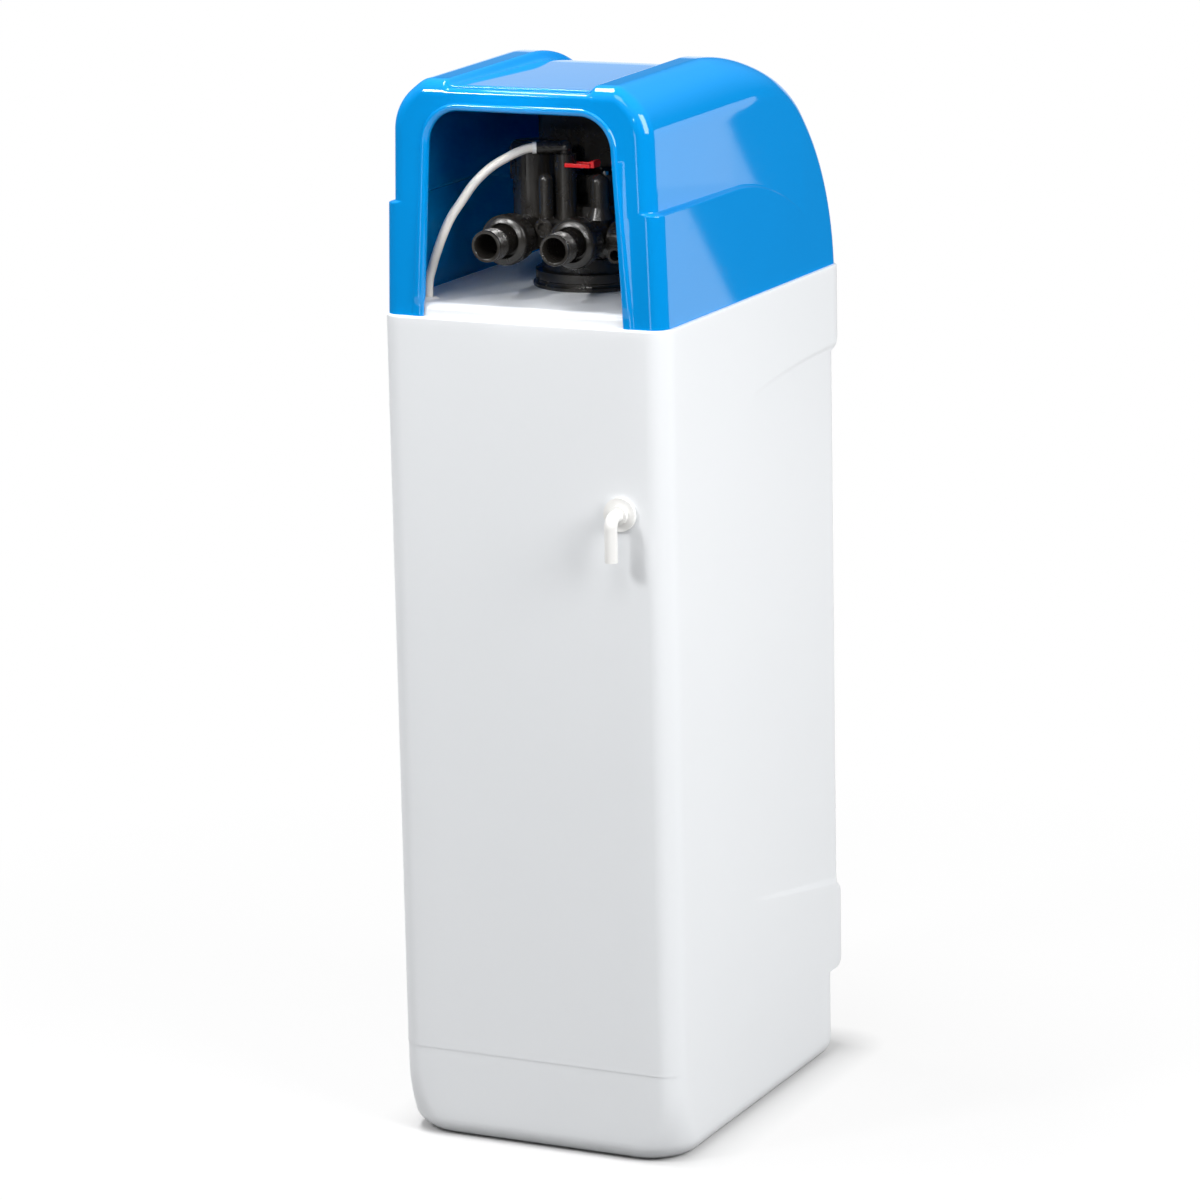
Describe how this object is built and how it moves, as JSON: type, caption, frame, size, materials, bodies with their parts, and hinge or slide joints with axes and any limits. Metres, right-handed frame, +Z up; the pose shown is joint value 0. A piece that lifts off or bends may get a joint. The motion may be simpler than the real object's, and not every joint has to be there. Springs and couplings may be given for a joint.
{
  "type": "water softener",
  "caption": "Cabinet water softener with a lift-off blue hood open at the rear, a control valve with threaded unions, a resin vessel and a brine well.",
  "frame": {"origin": "centre of the footprint of the cabinet, on the floor", "axes": "+Z up, -Y to the front where the user stands, +Y to the rear where the pipes leave, +X to the right of a person who faces the front"},
  "size_m": [0.325, 0.4888, 1.125],
  "materials": {
    "cabinet_white": "satin",
    "deck_white": "satin",
    "hood_blue": "gloss",
    "window_smoke": "gloss",
    "fitting_white": "satin",
    "seal_rubber": "matte",
    "vessel_blue": "satin",
    "boot_black": "matte",
    "resin_amber": "matte",
    "valve_black": "satin",
    "ceramic": "polished",
    "steel": "satin",
    "panel_dark": "satin",
    "lens_clear": "gloss",
    "board_green": "satin",
    "button_grey": "matte",
    "nozzle_orange": "satin",
    "clip_red": "satin",
    "tube_ivory": "satin"
  },
  "bodies": {
    "softener": {"cabinet_shell": "cabinet_white", "deck": "deck_white", "tube_grommet": "seal_rubber", "overflow_seal": "seal_rubber", "pressure_vessel": "vessel_blue", "vessel_boot": "boot_black", "resin_bed": "resin_amber", "riser_tube": "fitting_white", "bottom_distributor": "fitting_white", "top_distributor": "fitting_white", "neck_seal": "seal_rubber", "valve_body": "valve_black", "fixed_disc": "ceramic", "bonnet": "valve_black", "bonnet_screws": "steel", "drive_motor": "steel", "motor_screws": "steel", "head_base": "valve_black", "head_cover": "valve_black", "power_socket": "valve_black", "control_panel": "panel_dark", "display_lens": "lens_clear", "control_board": "board_green", "injector_cap": "valve_black", "injector_nozzle": "nozzle_orange", "brine_elbow": "valve_black", "tube_collet": "fitting_white", "brine_tube": "tube_ivory", "blanking_plug": "valve_black", "inlet_nipple": "valve_black", "outlet_nipple": "valve_black", "port_seals": "seal_rubber", "turbine_cage": "fitting_white", "drain_nut": "valve_black", "drain_spigot": "valve_black", "flow_washer": "seal_rubber", "brine_well": "fitting_white", "brine_valve": "fitting_white"},
    "hood": {"hood": "hood_blue", "display_window": "window_smoke"},
    "overflow": {"overflow_elbow": "fitting_white", "overflow_nut": "fitting_white"},
    "float": {"float_rod": "steel", "float_body": "fitting_white"},
    "clip": {"retaining_clip": "clip_red"},
    "disc_rotor": {"drive_gear": "fitting_white", "disc_shaft": "steel", "moving_disc": "ceramic"},
    "pinion": {"pinion": "steel"},
    "turbine": {"flow_turbine": "fitting_white"},
    "inlet_union": {"inlet_nut": "valve_black"},
    "outlet_union": {"outlet_nut": "valve_black"},
    "menu_key": {"menu_button": "button_grey"},
    "set_key": {"set_button": "button_grey"},
    "down_key": {"down_button": "button_grey"},
    "up_key": {"up_button": "button_grey"}
  },
  "joints": [
    {"name": "hood_lift", "type": "slide", "parent": "softener", "child": "hood", "axis": [0, 0, 1], "range_m": [0, 0.26]},
    {"name": "overflow_swivel", "type": "hinge", "parent": "softener", "child": "overflow", "pos_m": [-0.109, 0.229, 0.693], "axis": [0, 1, 0], "range_deg": [-90, 90]},
    {"name": "float_rise", "type": "slide", "parent": "softener", "child": "float", "axis": [0, 0, 1], "range_m": [0, 0.04]},
    {"name": "clip_pull", "type": "slide", "parent": "softener", "child": "clip", "axis": [-1, 0, 0], "range_m": [0, 0.03]},
    {"name": "disc_turn", "type": "hinge", "parent": "softener", "child": "disc_rotor", "pos_m": [0, 0.03, 1.003], "axis": [0, 0, 1], "continuous": true},
    {"name": "pinion_turn", "type": "hinge", "parent": "softener", "child": "pinion", "pos_m": [0, -0.009, 1.032], "axis": [0, 0, 1], "continuous": true},
    {"name": "turbine_spin", "type": "hinge", "parent": "softener", "child": "turbine", "pos_m": [-0.0385, 0.11, 0.959], "axis": [0, 1, 0], "continuous": true},
    {"name": "inlet_nut_turn", "type": "hinge", "parent": "softener", "child": "inlet_union", "pos_m": [0.0385, 0.172, 0.959], "axis": [0, 1, 0], "continuous": true},
    {"name": "outlet_nut_turn", "type": "hinge", "parent": "softener", "child": "outlet_union", "pos_m": [-0.0385, 0.172, 0.959], "axis": [0, 1, 0], "continuous": true},
    {"name": "menu_press", "type": "slide", "parent": "softener", "child": "menu_key", "axis": [0, 0.8192, -0.5736], "range_m": [0, 0.0012], "stiffness_N_per_m": 300, "springref_m": -0.0003},
    {"name": "set_press", "type": "slide", "parent": "softener", "child": "set_key", "axis": [0, 0.8192, -0.5736], "range_m": [0, 0.0012], "stiffness_N_per_m": 300, "springref_m": -0.0003},
    {"name": "down_press", "type": "slide", "parent": "softener", "child": "down_key", "axis": [0, 0.8192, -0.5736], "range_m": [0, 0.0012], "stiffness_N_per_m": 300, "springref_m": -0.0003},
    {"name": "up_press", "type": "slide", "parent": "softener", "child": "up_key", "axis": [0, 0.8192, -0.5736], "range_m": [0, 0.0012], "stiffness_N_per_m": 300, "springref_m": -0.0003}
  ],
  "couplings": [
    {"joint": "pinion_turn", "follows": "disc_turn", "ratio": -3.3333}
  ]
}
